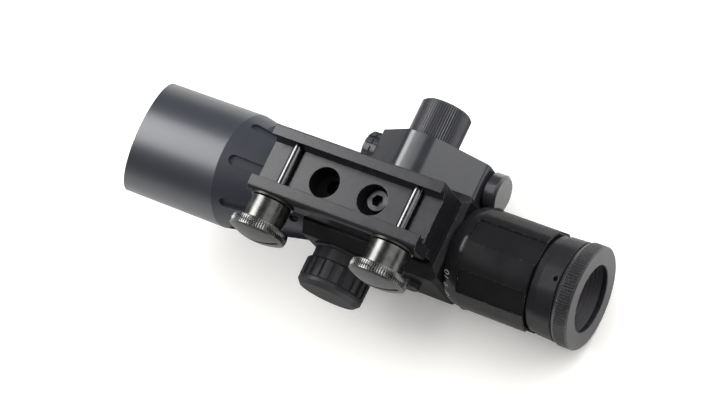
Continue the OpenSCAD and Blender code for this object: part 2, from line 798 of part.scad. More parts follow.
main_body();
objective_bell();
objective_lens();
objective_ring();
erector_tube();
erector_spring();
cam_sleeve();
front_erector_cell();
front_erector_lens();
rear_erector_cell();
rear_erector_lens();
reticle();
windage_base();
windage_spindle();
windage_knob();
elevation_base();
elevation_spindle();
elevation_knob();
side_housing();
light_module();
battery_stack();
brightness_knob();
aim_dial();
dial_window();
tail_button();
side_plug();
purge_screw();
zoom_ring();
zoom_drive_screw();
eyepiece_tube();
lock_screw();
eye_cell();
eye_lens();
eye_lock_ring();
focus_ring();
clamp_base();
base_screw();
cross_bolts();
clamp_jaw();
jaw_washers();
front_thumb_nut();
rear_thumb_nut();
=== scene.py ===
"""Looks of a compact zoom telescopic sight with a side light module and a rail clamp.

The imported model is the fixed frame: X points forward, Y left and Z up, in metres, with the
origin on the clamp floor. In the photograph the sight lies upside down on a white table, so
the table is on the +Z side, and the camera stands on the -Z side and looks at the clamp floor.
"""

import json
import logging
import math
from dataclasses import dataclass
from enum import Enum
from typing import Any, ClassVar, Mapping, Optional, Union

import bmesh
import bpy
from mathutils import Matrix, Vector


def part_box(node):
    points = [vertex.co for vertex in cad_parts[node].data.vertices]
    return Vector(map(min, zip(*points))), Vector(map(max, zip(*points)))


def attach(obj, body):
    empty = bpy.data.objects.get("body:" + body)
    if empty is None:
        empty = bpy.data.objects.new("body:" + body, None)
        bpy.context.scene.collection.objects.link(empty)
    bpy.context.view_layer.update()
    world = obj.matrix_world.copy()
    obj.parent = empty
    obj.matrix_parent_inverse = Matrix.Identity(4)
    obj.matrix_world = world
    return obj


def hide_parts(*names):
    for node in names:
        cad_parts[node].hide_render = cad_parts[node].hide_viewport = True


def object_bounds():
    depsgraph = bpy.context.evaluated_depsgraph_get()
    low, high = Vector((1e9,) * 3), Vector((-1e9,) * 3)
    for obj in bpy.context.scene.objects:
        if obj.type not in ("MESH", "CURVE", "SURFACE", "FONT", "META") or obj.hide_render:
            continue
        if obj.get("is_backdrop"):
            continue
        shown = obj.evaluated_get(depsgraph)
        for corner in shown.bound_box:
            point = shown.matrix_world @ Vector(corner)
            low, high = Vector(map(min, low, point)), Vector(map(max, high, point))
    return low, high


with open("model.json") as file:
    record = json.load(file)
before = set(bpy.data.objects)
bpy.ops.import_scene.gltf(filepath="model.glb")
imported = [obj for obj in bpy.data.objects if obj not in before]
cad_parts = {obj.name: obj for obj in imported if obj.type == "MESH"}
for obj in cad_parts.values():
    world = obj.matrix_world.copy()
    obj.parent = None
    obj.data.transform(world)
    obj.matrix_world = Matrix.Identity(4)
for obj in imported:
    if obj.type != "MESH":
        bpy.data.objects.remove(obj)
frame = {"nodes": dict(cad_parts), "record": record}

log = logging.getLogger("sight")

MM = 0.001
NOISE_MIDDLE = 0.5

Colour = tuple[float, float, float]
Triple = tuple[float, float, float]
Span = tuple[float, float]
Term = Union["Value", float]


class Value:
    """A number, vector or colour that a node gives, with arithmetic that adds Math nodes."""

    def __init__(self, graph: "Graph", socket: bpy.types.NodeSocket) -> None:
        """Keeps the socket and the graph that it belongs to."""
        self.graph = graph
        self.socket = socket

    def _math(self, operation: str, *terms: Term) -> "Value":
        """Adds one Math node.

        Args:
            operation: The Math node's operation.
            *terms: Its inputs in order.

        Returns:
            The result as a value.
        """
        return self.graph.node("ShaderNodeMath", {"operation": operation}, dict(enumerate(terms)))[0]

    def __add__(self, other: Term) -> "Value":
        """Adds a value or a number."""
        return self._math("ADD", self, other)

    def __sub__(self, other: Term) -> "Value":
        """Subtracts a value or a number."""
        return self._math("SUBTRACT", self, other)

    def __rsub__(self, other: Term) -> "Value":
        """Subtracts this value from a number."""
        return self._math("SUBTRACT", other, self)

    def __mul__(self, other: Term) -> "Value":
        """Multiplies by a value or a number."""
        return self._math("MULTIPLY", self, other)

    def __truediv__(self, other: Term) -> "Value":
        """Divides by a value or a number."""
        return self._math("DIVIDE", self, other)

    def __rtruediv__(self, other: Term) -> "Value":
        """Divides a number by this value."""
        return self._math("DIVIDE", other, self)

    def cos(self) -> "Value":
        """Gives the cosine of an angle in radians."""
        return self._math("COSINE", self)

    def sin(self) -> "Value":
        """Gives the sine of an angle in radians."""
        return self._math("SINE", self)

    def greatest(self, other: Term) -> "Value":
        """Gives the larger of two values."""
        return self._math("MAXIMUM", self, other)

    def ease(self, low: float, high: float) -> "Value":
        """Rises smoothly from 0 at low to 1 at high.

        Args:
            low: Where the rise starts.
            high: Where the rise ends.

        Returns:
            The eased value.
        """
        return self.graph.node("ShaderNodeMapRange", {"interpolation_type": "SMOOTHSTEP"},
                               {0: self, 1: low, 2: high})[0]


class Made:
    """A node that has been added, whose outputs are read by name or number."""

    def __init__(self, graph: "Graph", node: bpy.types.Node) -> None:
        """Keeps the node and its graph."""
        self.graph = graph
        self.node = node

    def __getitem__(self, key: Union[str, int]) -> Value:
        """Gives one output as a value."""
        return Value(self.graph, self.node.outputs[key])


class Graph:
    """Adds nodes to a tree from their type, settings and inputs."""

    def __init__(self, tree: bpy.types.NodeTree) -> None:
        """Keeps the tree that the nodes go into."""
        self.tree = tree

    def node(self, kind: str, settings: Optional[Mapping[str, Any]] = None,
             inputs: Optional[Mapping[Union[str, int], Any]] = None) -> Made:
        """Adds a node, sets it up and feeds its sockets.

        Args:
            kind: The node's type name.
            settings: Properties of the node.
            inputs: Values or links by socket name or number.

        Returns:
            The node that was made.
        """
        node = self.tree.nodes.new(kind)
        for name, setting in (settings or {}).items():
            setattr(node, name, setting)
        for key, fed in (inputs or {}).items():
            if isinstance(fed, Value):
                self.tree.links.new(fed.socket, node.inputs[key])
            else:
                node.inputs[key].default_value = fed
        return Made(self, node)


class SurfaceGraph(Graph):
    """A material's nodes, with the patterns that the finishes share."""

    BEVEL_SAMPLES: ClassVar[int] = 6
    EDGE_BEND: ClassVar[Span] = (0.02, 0.22)

    def place(self) -> Value:
        """Gives the point on the piece, in metres."""
        return self.node("ShaderNodeTexCoord")["Object"]

    def place_parts(self) -> Made:
        """Gives the X, Y and Z of the point on the piece."""
        return self.node("ShaderNodeSeparateXYZ", None, {0: self.place()})

    def noise(self, size: float, detail: float = 2.0, stretch: Triple = (1.0, 1.0, 1.0)) -> Value:
        """Gives soft random blotches from 0 to 1.

        Args:
            size: The size of a blotch in metres.
            detail: How many finer layers are added.
            stretch: How much longer a blotch is along each axis.

        Returns:
            The pattern as a value.
        """
        scale = tuple(1.0 / length for length in stretch)
        mapped = self.node("ShaderNodeMapping", None, {"Vector": self.place(), "Scale": scale})[0]
        return self.node("ShaderNodeTexNoise", None,
                         {"Vector": mapped, "Scale": 1.0 / size, "Detail": detail})[0]

    def rounded(self, radius: float) -> Value:
        """Gives normals that run softly round every edge of the piece."""
        return self.node("ShaderNodeBevel", {"samples": self.BEVEL_SAMPLES}, {"Radius": radius})[0]

    def edges(self, radius: float) -> Value:
        """Gives 0 on open faces, rising towards 1 on edges.

        Args:
            radius: How far in from an edge the rise starts, in metres.

        Returns:
            The edge mask as a value.
        """
        flat = self.node("ShaderNodeNewGeometry")["Normal"]
        aligned = self.node("ShaderNodeVectorMath", {"operation": "DOT_PRODUCT"},
                            {0: self.rounded(radius), 1: flat})["Value"]
        return (1.0 - aligned).ease(*self.EDGE_BEND)

    def bump(self, height: Value, depth: float, normal: Value) -> Value:
        """Raises a surface by a height pattern.

        Args:
            height: The pattern, from 0 to 1.
            depth: The height of its full rise, in metres.
            normal: The normal that it starts from.

        Returns:
            The bumped normal.
        """
        return self.node("ShaderNodeBump", None,
                         {"Strength": 1.0, "Distance": depth, "Height": height, "Normal": normal})[0]

    def blend(self, share: Term, low: Union[Colour, Value], high: Union[Colour, Value]) -> Value:
        """Mixes two colours.

        Args:
            share: How much of the second colour shows.
            low: The first colour.
            high: The second colour.

        Returns:
            The mixed colour.
        """
        pair = [c if isinstance(c, Value) else (*c, 1.0) for c in (low, high)]
        return self.node("ShaderNodeMix", {"data_type": "RGBA"}, {0: share, 6: pair[0], 7: pair[1]})[2]

    def surface(self, inputs: Mapping[str, Any]) -> Value:
        """Gives a Principled shader with these inputs."""
        return self.node("ShaderNodeBsdfPrincipled", None, inputs)[0]

    def mix(self, share: Value, first: Value, second: Value) -> Value:
        """Mixes two shaders.

        Args:
            share: How much of the second shader shows.
            first: The first shader.
            second: The second shader.

        Returns:
            The mixed shader.
        """
        return self.node("ShaderNodeMixShader", None, {0: share, 1: first, 2: second})[0]


def lighter(colour: Colour, times: float) -> Colour:
    """Gives a colour that is a number of times as light."""
    return tuple(times * c for c in colour)


def blank_material(name: str) -> bpy.types.Material:
    """Makes a material without nodes."""
    material = bpy.data.materials.new(name)
    material.use_nodes = True
    material.node_tree.nodes.clear()
    return material


def link(name: str, data: bpy.types.ID) -> bpy.types.Object:
    """Puts a new object with this data into the scene."""
    holder = bpy.data.objects.new(name, data)
    bpy.context.scene.collection.objects.link(holder)
    return holder


def flatten(holder: bpy.types.Object) -> bpy.types.Mesh:
    """Gives the plain mesh that an object evaluates to."""
    bpy.context.view_layer.update()
    evaluated = holder.evaluated_get(bpy.context.evaluated_depsgraph_get())
    return bpy.data.meshes.new_from_object(evaluated)


@dataclass(frozen=True)
class Finish:
    """A finish that any number of pieces can wear."""

    name: str

    def material(self) -> bpy.types.Material:
        """Builds the finish's material on its first use."""
        found = bpy.data.materials.get(self.name)
        if found is not None:
            return found
        material = blank_material(self.name)
        graph = SurfaceGraph(material.node_tree)
        graph.node("ShaderNodeOutputMaterial", None, {"Surface": self.shade(graph)})
        return material

    def shade(self, graph: SurfaceGraph) -> Value:
        """Adds the finish's nodes and gives its shader."""
        raise NotImplementedError


@dataclass(frozen=True)
class Anodised(Finish):
    """Dyed anodised alloy: fine matt grain, soft clouds, and bright metal on rubbed edges.

    Attributes:
        colour: The colour of the dye.
        roughness: The roughness that clouds and grain vary.
        gloss: The specular level of the shine.
        glancing: How much of the shine is left at a slant, in front of shine_from.
        shine_from: The X behind which a slanted surface is quite dull.
        dulness: How dull every surface behind dull_behind is at least.
        dull_behind: The X of the seam behind which dulness holds.
        grain: The size of a grain.
        grain_depth: Its height.
        cloudiness: How strong the clouds are.
        edge: How far edges are rounded.
        wear: How much of the edges is rubbed bright.
        bare_metal: The colour of a rubbed edge.
    """

    CLOUD: ClassVar[float] = 9.0 * MM
    CLOUD_SPAN: ClassVar[Span] = (0.25, 0.8)
    CLOUD_ROUGHNESS: ClassVar[float] = 0.2
    GRAIN_SHARE: ClassVar[float] = 0.25
    GRAIN_ROUGHNESS: ClassVar[float] = 0.10
    LIGHTEST: ClassVar[float] = 1.5
    CHIP: ClassVar[float] = 1.1 * MM
    CHIP_SPAN: ClassVar[Span] = (0.62, 0.72)
    CHIP_GROWTH: ClassVar[float] = 0.3
    FULL_WEAR: ClassVar[float] = 0.5
    SLANT_SPAN: ClassVar[Span] = (0.2, 0.65)
    SHINE_SEAM: ClassVar[float] = 0.2 * MM
    DULL_SEAM: ClassVar[float] = 0.1 * MM

    colour: Colour
    roughness: float = 0.36
    gloss: float = 0.7
    glancing: float = 0.25
    shine_from: float = -1.0
    dulness: float = 0.0
    dull_behind: float = 0.0
    grain: float = 0.16 * MM
    grain_depth: float = 0.004 * MM
    cloudiness: float = 0.5
    edge: float = 0.22 * MM
    wear: float = 0.0
    bare_metal: Colour = (0.52, 0.52, 0.51)

    def shade(self, graph: SurfaceGraph) -> Value:
        """Adds the anodised surface's nodes and gives its shader."""
        grain = graph.noise(self.grain, detail=1.0)
        clouds = graph.noise(self.CLOUD, detail=3.0)
        light = clouds.ease(*self.CLOUD_SPAN) * self.cloudiness + grain * self.GRAIN_SHARE
        colour = graph.blend(light, self.colour, lighter(self.colour, self.LIGHTEST))
        uneven = (clouds - NOISE_MIDDLE) * (self.CLOUD_ROUGHNESS * self.cloudiness)
        uneven = uneven + (grain - NOISE_MIDDLE) * self.GRAIN_ROUGHNESS
        inputs = {
            "Roughness": uneven + self.roughness,
            "Normal": graph.bump(grain, self.grain_depth, graph.rounded(self.edge)),
        }
        if self.wear > 0.0:
            first_chip, full_chip = self.CHIP_SPAN
            chips = graph.noise(self.CHIP, detail=4.0)
            chips = chips.ease(first_chip - self.CHIP_GROWTH * self.wear, full_chip)
            rubbed = graph.edges(self.edge) * chips * min(1.0, self.wear / self.FULL_WEAR)
            colour = graph.blend(rubbed, colour, self.bare_metal)
            inputs["Metallic"] = rubbed
        inputs["Base Color"] = colour
        shiny = graph.surface({**inputs, "Specular IOR Level": self.gloss})
        matt = graph.surface({**inputs, "Specular IOR Level": 0.0})
        return graph.mix(self.dull_share(graph), shiny, matt)

    def dull_share(self, graph: SurfaceGraph) -> Value:
        """Gives how much of the shine is lost, by slant and by place along the sight."""
        facing = graph.node("ShaderNodeLayerWeight")["Facing"]
        along = graph.place_parts()["X"]
        glancing = along.ease(self.shine_from, self.shine_from + self.SHINE_SEAM) * self.glancing
        behind = 1.0 - along.ease(self.dull_behind, self.dull_behind + self.DULL_SEAM)
        return (facing.ease(*self.SLANT_SPAN) * (1.0 - glancing)).greatest(behind * self.dulness)


@dataclass(frozen=True)
class AlloyWithShadedHole(Anodised):
    """Anodised alloy with painted shade in an empty screw hole: inside it the surface is painted near
    black and dull, as a deep hole lies in shade.

    Attributes:
        hole_x: The X of the hole's middle.
        hole_y: Its Y.
        hole_radius: The radius inside which the shade is painted.
        hole_rim: The depth from which the painted shade is full.
        hole_painted_shade: The painted shade inside, a near black.
        hole_gloss: The specular level inside, kept low with the painted shade.
        hole_roughness: The least roughness inside.
        hole_unevenness: How much the grain adds to it.
    """

    RIM_SPAN: ClassVar[Span] = (1.0, 1.1)
    HOLE_GRAIN: ClassVar[float] = 0.3 * MM

    hole_x: float = 10.0 * MM
    hole_y: float = -0.4 * MM
    hole_radius: float = 5.95 * MM
    hole_rim: float = 0.6 * MM
    hole_painted_shade: Colour = (0.006, 0.006, 0.007)
    hole_gloss: float = 0.15
    hole_roughness: float = 0.5
    hole_unevenness: float = 0.2

    def shade(self, graph: SurfaceGraph) -> Value:
        """Adds the surface's nodes, with the painted shade in the hole, and gives its shader."""
        outside = super().shade(graph)
        place = graph.place_parts()
        along = place["X"] - self.hole_x
        across = place["Y"] - self.hole_y
        reach = (along * along + across * across) / self.hole_radius ** 2
        deep = place["Z"].ease(self.hole_rim / 2, self.hole_rim)
        # Painted shade: the inside of the hole is painted near black, dull and rough.
        dull = graph.surface({
            "Base Color": (*self.hole_painted_shade, 1.0),
            "Roughness": graph.noise(self.HOLE_GRAIN) * self.hole_unevenness + self.hole_roughness,
            "Specular IOR Level": self.hole_gloss})
        return graph.mix((1.0 - reach.ease(*self.RIM_SPAN)) * deep, outside, dull)


class Axis(Enum):
    """The axis that a piece was turned round, as the stretch of its tool rings along X, Y and Z."""

    X = (1.0, 60.0, 60.0)
    Y = (60.0, 1.0, 60.0)
    Z = (60.0, 60.0, 1.0)


@dataclass(frozen=True)
class TurnedSteel(Finish):
    """Turned steel with tool rings, smudges, fine scratches and rubbed bright edges.

    Attributes:
        colour: The colour of the dull steel.
        bright: The colour of smudges, scratches and rubbed edges.
        axis: The axis that the piece was turned round.
        roughness: The roughness that smudges and rings vary.
        edge: How far edges are rounded.
        ring: The width of a tool ring.
        ring_depth: Its depth.
    """

    RING_ROUGHNESS: ClassVar[float] = 0.10
    SMUDGE: ClassVar[float] = 3.5 * MM
    SMUDGE_SPAN: ClassVar[Span] = (0.3, 0.75)
    SMUDGE_SHARE: ClassVar[float] = 0.45
    SMUDGE_ROUGHNESS: ClassVar[float] = 0.22
    SCRATCH: ClassVar[float] = 0.35 * MM
    SCRATCH_LENGTH: ClassVar[float] = 12.0
    SCRATCH_WIDTH: ClassVar[float] = 0.5
    SCRATCH_SPAN: ClassVar[Span] = (0.66, 0.72)
    SCRATCHED_SMUDGES: ClassVar[Span] = (0.5, 0.7)
    SCRATCH_SHARE: ClassVar[float] = 0.7
    RUBBED_SHARE: ClassVar[float] = 0.8

    colour: Colour
    bright: Colour
    axis: Axis
    roughness: float = 0.26
    edge: float = 0.15 * MM
    ring: float = 0.09 * MM
    ring_depth: float = 0.0025 * MM

    def shade(self, graph: SurfaceGraph) -> Value:
        """Adds the turned surface's nodes and gives its shader."""
        rings = graph.noise(self.ring, stretch=self.axis.value)
        smudges = graph.noise(self.SMUDGE, detail=4.0)
        stretch = tuple(self.SCRATCH_LENGTH if ringed == 1.0 else self.SCRATCH_WIDTH
                        for ringed in self.axis.value)
        scratches = graph.noise(self.SCRATCH, detail=3.0, stretch=stretch).ease(*self.SCRATCH_SPAN)
        scratched = scratches * smudges.ease(*self.SCRATCHED_SMUDGES) * self.SCRATCH_SHARE
        shown = (graph.edges(self.edge) * self.RUBBED_SHARE + scratched).ease(0.0, 1.0)
        smudged = smudges.ease(*self.SMUDGE_SPAN) * self.SMUDGE_SHARE
        colour = graph.blend(shown, graph.blend(smudged, self.colour, self.bright), self.bright)
        uneven = (smudges - NOISE_MIDDLE) * self.SMUDGE_ROUGHNESS
        uneven = uneven + (rings - NOISE_MIDDLE) * self.RING_ROUGHNESS
        return graph.surface({
            "Base Color": colour, "Metallic": 1.0, "Roughness": uneven + self.roughness,
            "Normal": graph.bump(rings, self.ring_depth, graph.rounded(self.edge))})


@dataclass(frozen=True)
class NutSteel(TurnedSteel):
    """Turned steel that is bare on the shank and blackened on the outer end.

    Attributes:
        blacked: The colour of the outer end.
        blacked_from: The Y where the blackened end starts.
        black_roughness: The least roughness there.
        black_unevenness: How much the grain adds to it.
    """

    BLACK_GRAIN: ClassVar[float] = 0.2 * MM
    BLACK_LIGHTEST: ClassVar[float] = 1.5
    BLACK_SEAM: ClassVar[float] = 0.08 * MM

    blacked: Colour = (0.030, 0.030, 0.033)
    blacked_from: float = -26.95 * MM
    black_roughness: float = 0.42
    black_unevenness: float = 0.15

    def shade(self, graph: SurfaceGraph) -> Value:
        """Adds the nut's nodes and gives its shader."""
        bare = super().shade(graph)
        grain = graph.noise(self.BLACK_GRAIN)
        black = graph.surface({
            "Base Color": graph.blend(grain, self.blacked, lighter(self.blacked, self.BLACK_LIGHTEST)),
            "Roughness": grain * self.black_unevenness + self.black_roughness,
            "Normal": graph.rounded(self.edge)})
        share = (self.blacked_from - graph.place_parts()["Y"]).ease(0.0, self.BLACK_SEAM)
        return graph.mix(share, bare, black)


@dataclass(frozen=True)
class CoatedGlass(Finish):
    """Optical glass with a thin coloured coating and a little dust.

    Attributes:
        tint: The colour of the light that passes through; on the coated lenses its dark pink is a painted
            reflection of the coating and painted shade of the dark inside.
        glare: The colour of the light that the coating throws back.
        refraction: The glass's refractive index.
        polish: The roughness of clean glass.
        dustiness: How much dust adds to it.
    """

    DUST: ClassVar[float] = 0.5 * MM
    DUST_SPAN: ClassVar[Span] = (0.6, 0.9)

    tint: Colour
    glare: Colour
    refraction: float = 1.6
    polish: float = 0.015
    dustiness: float = 0.06

    def shade(self, graph: SurfaceGraph) -> Value:
        """Adds the glass's nodes and gives its shader."""
        dust = graph.noise(self.DUST).ease(*self.DUST_SPAN)
        return graph.surface({
            "Base Color": (*self.tint, 1.0), "Roughness": dust * self.dustiness + self.polish,
            "IOR": self.refraction, "Transmission Weight": 1.0, "Specular Tint": (*self.glare, 1.0)})


@dataclass(frozen=True)
class Paint(Finish):
    """Filled paint marks, a little worn.

    Attributes:
        colour: The colour of fresh paint.
        roughness: The least roughness.
        unevenness: How much the worn blotches add to it.
    """

    WORN: ClassVar[float] = 0.3 * MM
    WORN_SPAN: ClassVar[Span] = (0.35, 0.65)
    DULLEST: ClassVar[float] = 0.62

    colour: Colour
    roughness: float = 0.5
    unevenness: float = 0.2

    def shade(self, graph: SurfaceGraph) -> Value:
        """Adds the paint's nodes and gives its shader."""
        worn = graph.noise(self.WORN, detail=3.0)
        dull = lighter(self.colour, self.DULLEST)
        return graph.surface({
            "Base Color": graph.blend(worn.ease(*self.WORN_SPAN), dull, self.colour),
            "Roughness": worn * self.unevenness + self.roughness})


class Finishes:
    """Every finish on the sight."""

    bell = Anodised("bell_anodised", (0.029, 0.031, 0.041), 0.38, gloss=0.62, glancing=0.9,
                    shine_from=49.0 * MM, dulness=0.4, dull_behind=57.5 * MM,
                    grain=0.20 * MM, cloudiness=0.1, edge=0.25 * MM)
    body = Anodised("body_anodised", (0.010, 0.010, 0.011), 0.30, gloss=0.25, wear=0.85)
    module = Anodised("module_anodised", (0.024, 0.025, 0.031), 0.23, gloss=0.55, glancing=0.3,
                      cloudiness=0.25, edge=0.35 * MM)
    button = Anodised("button_anodised", (0.018, 0.018, 0.021), 0.26, gloss=0.9, glancing=1.0,
                      edge=0.20 * MM)
    turret = Anodised("turret_anodised", (0.030, 0.030, 0.033), 0.38, gloss=0.34,
                      edge=0.18 * MM, wear=0.15)
    knob = Anodised("knob_anodised", (0.030, 0.031, 0.037), 0.32, gloss=0.45, edge=0.10 * MM)
    ring = Anodised("ring_anodised", (0.010, 0.010, 0.011), 0.18, gloss=0.22, glancing=0.45,
                    edge=0.20 * MM, wear=0.4)
    eyepiece = Anodised("eyepiece_anodised", (0.014, 0.014, 0.016), 0.25, gloss=0.22, glancing=0.5,
                        edge=0.12 * MM, wear=0.3)
    focus = Anodised("focus_anodised", (0.014, 0.014, 0.016), 0.30, gloss=0.58, glancing=0.8,
                     edge=0.16 * MM, wear=0.6)
    # The clamp base gets painted shade inside its empty front screw hole.
    clamp = AlloyWithShadedHole("clamp_anodised", (0.014, 0.014, 0.017), 0.28, gloss=0.36, wear=0.85)
    jaw = Anodised("jaw_anodised", (0.018, 0.018, 0.020), 0.28, gloss=0.30, wear=0.85)
    inside = Anodised("inside_matt_black", (0.055, 0.055, 0.060), 0.50, glancing=1.0, edge=0.1 * MM)
    nut = NutSteel("thumb_nut_steel", (0.085, 0.085, 0.085), (0.19, 0.19, 0.175), Axis.Y, 0.29)
    knurl = TurnedSteel("knurl_steel", (0.060, 0.060, 0.060), (0.17, 0.17, 0.160), Axis.Y, 0.26)
    screw = TurnedSteel("screw_black_oxide", (0.024, 0.024, 0.026), (0.11, 0.11, 0.11), Axis.Z, 0.36)
    washer = TurnedSteel("washer_steel", (0.030, 0.029, 0.026), (0.09, 0.085, 0.07), Axis.Y, 0.40)
    bolt = TurnedSteel("bolt_polished_steel", (0.090, 0.090, 0.095), (0.17, 0.17, 0.165), Axis.Y, 0.21)
    spring = TurnedSteel("leaf_spring_steel", (0.32, 0.32, 0.32), (0.6, 0.6, 0.58), Axis.Y, 0.25)
    brass = TurnedSteel("turned_brass", (0.52, 0.40, 0.19), (0.75, 0.62, 0.35), Axis.X, 0.28)
    cell = TurnedSteel("nickel_cell", (0.62, 0.62, 0.60), (0.8, 0.8, 0.78), Axis.X, 0.22)
    # Painted reflection and shade: the coated lens's dark pink tint stands in for the coating's pink
    # reflection and the shade inside the sight.
    lens = CoatedGlass("coated_lens_glass", (0.42, 0.20, 0.23), (1.0, 0.50, 0.58))
    glass = CoatedGlass("clear_lens_glass", (0.92, 0.95, 0.95), (1.0, 1.0, 1.0))
    white = Paint("white_number_paint", (0.68, 0.68, 0.67))
    hairline = Paint("black_hairline", (0.01, 0.01, 0.01))


class Piece:
    """Finished meshes that ride on a body of the frame."""

    MERGE_DISTANCE: ClassVar[float] = 0.0005 * MM

    @staticmethod
    def add(name: str, mesh: bpy.types.Mesh, finish: Finish, body: str, slot: str) -> bpy.types.Object:
        """Puts a finished mesh on a body.

        Args:
            name: The new object's name.
            mesh: Its mesh, already in place.
            finish: The finish that it wears.
            body: The body that it rides on.
            slot: The record's material slot for it; not used.

        Returns:
            The new object.
        """
        mesh.materials.clear()
        mesh.materials.append(finish.material())
        piece = link(name, mesh)
        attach(piece, body)
        log.info("%s rides on %s with %d faces", name, body, len(mesh.polygons))
        return piece

    @staticmethod
    def skin(node: str, finish: Finish, sharp: float = 28.0) -> bpy.types.Object:
        """Shows a CAD node through a smooth-shaded copy of its own mesh.

        Args:
            node: The CAD node.
            finish: The finish that the copy wears.
            sharp: Edges that turn by this many degrees or more stay crisp.

        Returns:
            The copy, which stands for the node.
        """
        source = frame["nodes"][node]
        mesh = source.data.copy()
        work = bmesh.new()
        work.from_mesh(mesh)
        bmesh.ops.remove_doubles(work, verts=work.verts, dist=Piece.MERGE_DISTANCE)
        for face in work.faces:
            face.smooth = True
        limit = math.radians(sharp)
        for edge in work.edges:
            edge.smooth = edge.is_manifold and edge.calc_face_angle(0.0) < limit
        work.to_mesh(mesh)
        work.free()
        record = frame["record"]
        entry = next(part for part in record["subparts"] if part["node"] == node)
        body = next(name for name, nodes in record["behaviour"]["bodies"].items() if node in nodes)
        piece = Piece.add(f"{node}_skin", mesh, finish, body, entry["material_slot"])
        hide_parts(node)
        return piece


@dataclass
class ObjectiveBell:
    """Bell with its slanted shade, front lens, lock ring and purge screw.

    Attributes:
        crisp_from: The bell's edges that turn by this many degrees or more stay crisp.
    """

    crisp_from: float = 9.0

    def build(self) -> None:
        """Dresses the bell and what it holds, with a crisp seam between bell and taper."""
        Piece.skin("objective_bell", Finishes.bell, self.crisp_from)
        Piece.skin("objective_lens", Finishes.lens)
        Piece.skin("objective_ring", Finishes.inside)
        Piece.skin("purge_screw", Finishes.screw)


@dataclass
class CentreBlock:
    """Block with the rear tube, its plug, and the image-erecting parts inside.

    Attributes:
        half_width: Half the width of a cross hair, and its distance from the glass.
        half_length: Half its length.
    """

    half_width: float = 0.03 * MM
    half_length: float = 11.0 * MM

    def build(self) -> None:
        """Dresses the block and its inner parts."""
        Piece.skin("main_body", Finishes.body)
        Piece.skin("side_plug", Finishes.turret)
        Piece.skin("erector_tube", Finishes.inside)
        Piece.skin("erector_spring", Finishes.spring)
        for end in ("front", "rear"):
            Piece.skin(f"{end}_erector_cell", Finishes.brass)
            Piece.skin(f"{end}_erector_lens", Finishes.glass)
        Piece.skin("reticle", Finishes.glass)
        self.build_cross_hairs()

    def build_cross_hairs(self) -> None:
        """Lays two hairlines across the rear face of the reticle."""
        low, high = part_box("reticle")
        middle = (low + high) / 2
        rear = low.x - self.half_width
        mesh = bpy.data.meshes.new("cross_hairs")
        work = bmesh.new()
        level = (self.half_length, self.half_width)
        for reach_y, reach_z in (level, level[::-1]):
            corners = [Vector((rear, middle.y + side_y * reach_y, middle.z + side_z * reach_z))
                       for side_y, side_z in ((-1, -1), (-1, 1), (1, 1), (1, -1))]
            work.faces.new([work.verts.new(corner) for corner in corners])
        bmesh.ops.solidify(work, geom=work.faces[:], thickness=self.half_width / 2)
        work.to_mesh(mesh)
        work.free()
        Piece.add("cross_hairs", mesh, Finishes.hairline, "sight", "body_black")


@dataclass
class Turrets:
    """Windage and elevation turrets with their adjusting screws."""

    def build(self) -> None:
        """Dresses both turrets."""
        for turret in ("windage", "elevation"):
            Piece.skin(f"{turret}_base", Finishes.turret)
            Piece.skin(f"{turret}_knob", Finishes.turret)
            Piece.skin(f"{turret}_spindle", Finishes.brass)


@dataclass
class LightModule:
    """Light module on the left side, with its knob, dial, switch and cells."""

    def build(self) -> None:
        """Dresses the module."""
        Piece.skin("side_housing", Finishes.module)
        Piece.skin("brightness_knob", Finishes.knob)
        Piece.skin("aim_dial", Finishes.knob)
        Piece.skin("dial_window", Finishes.glass)
        Piece.skin("tail_button", Finishes.button)
        Piece.skin("light_module", Finishes.brass)
        Piece.skin("battery_stack", Finishes.cell)


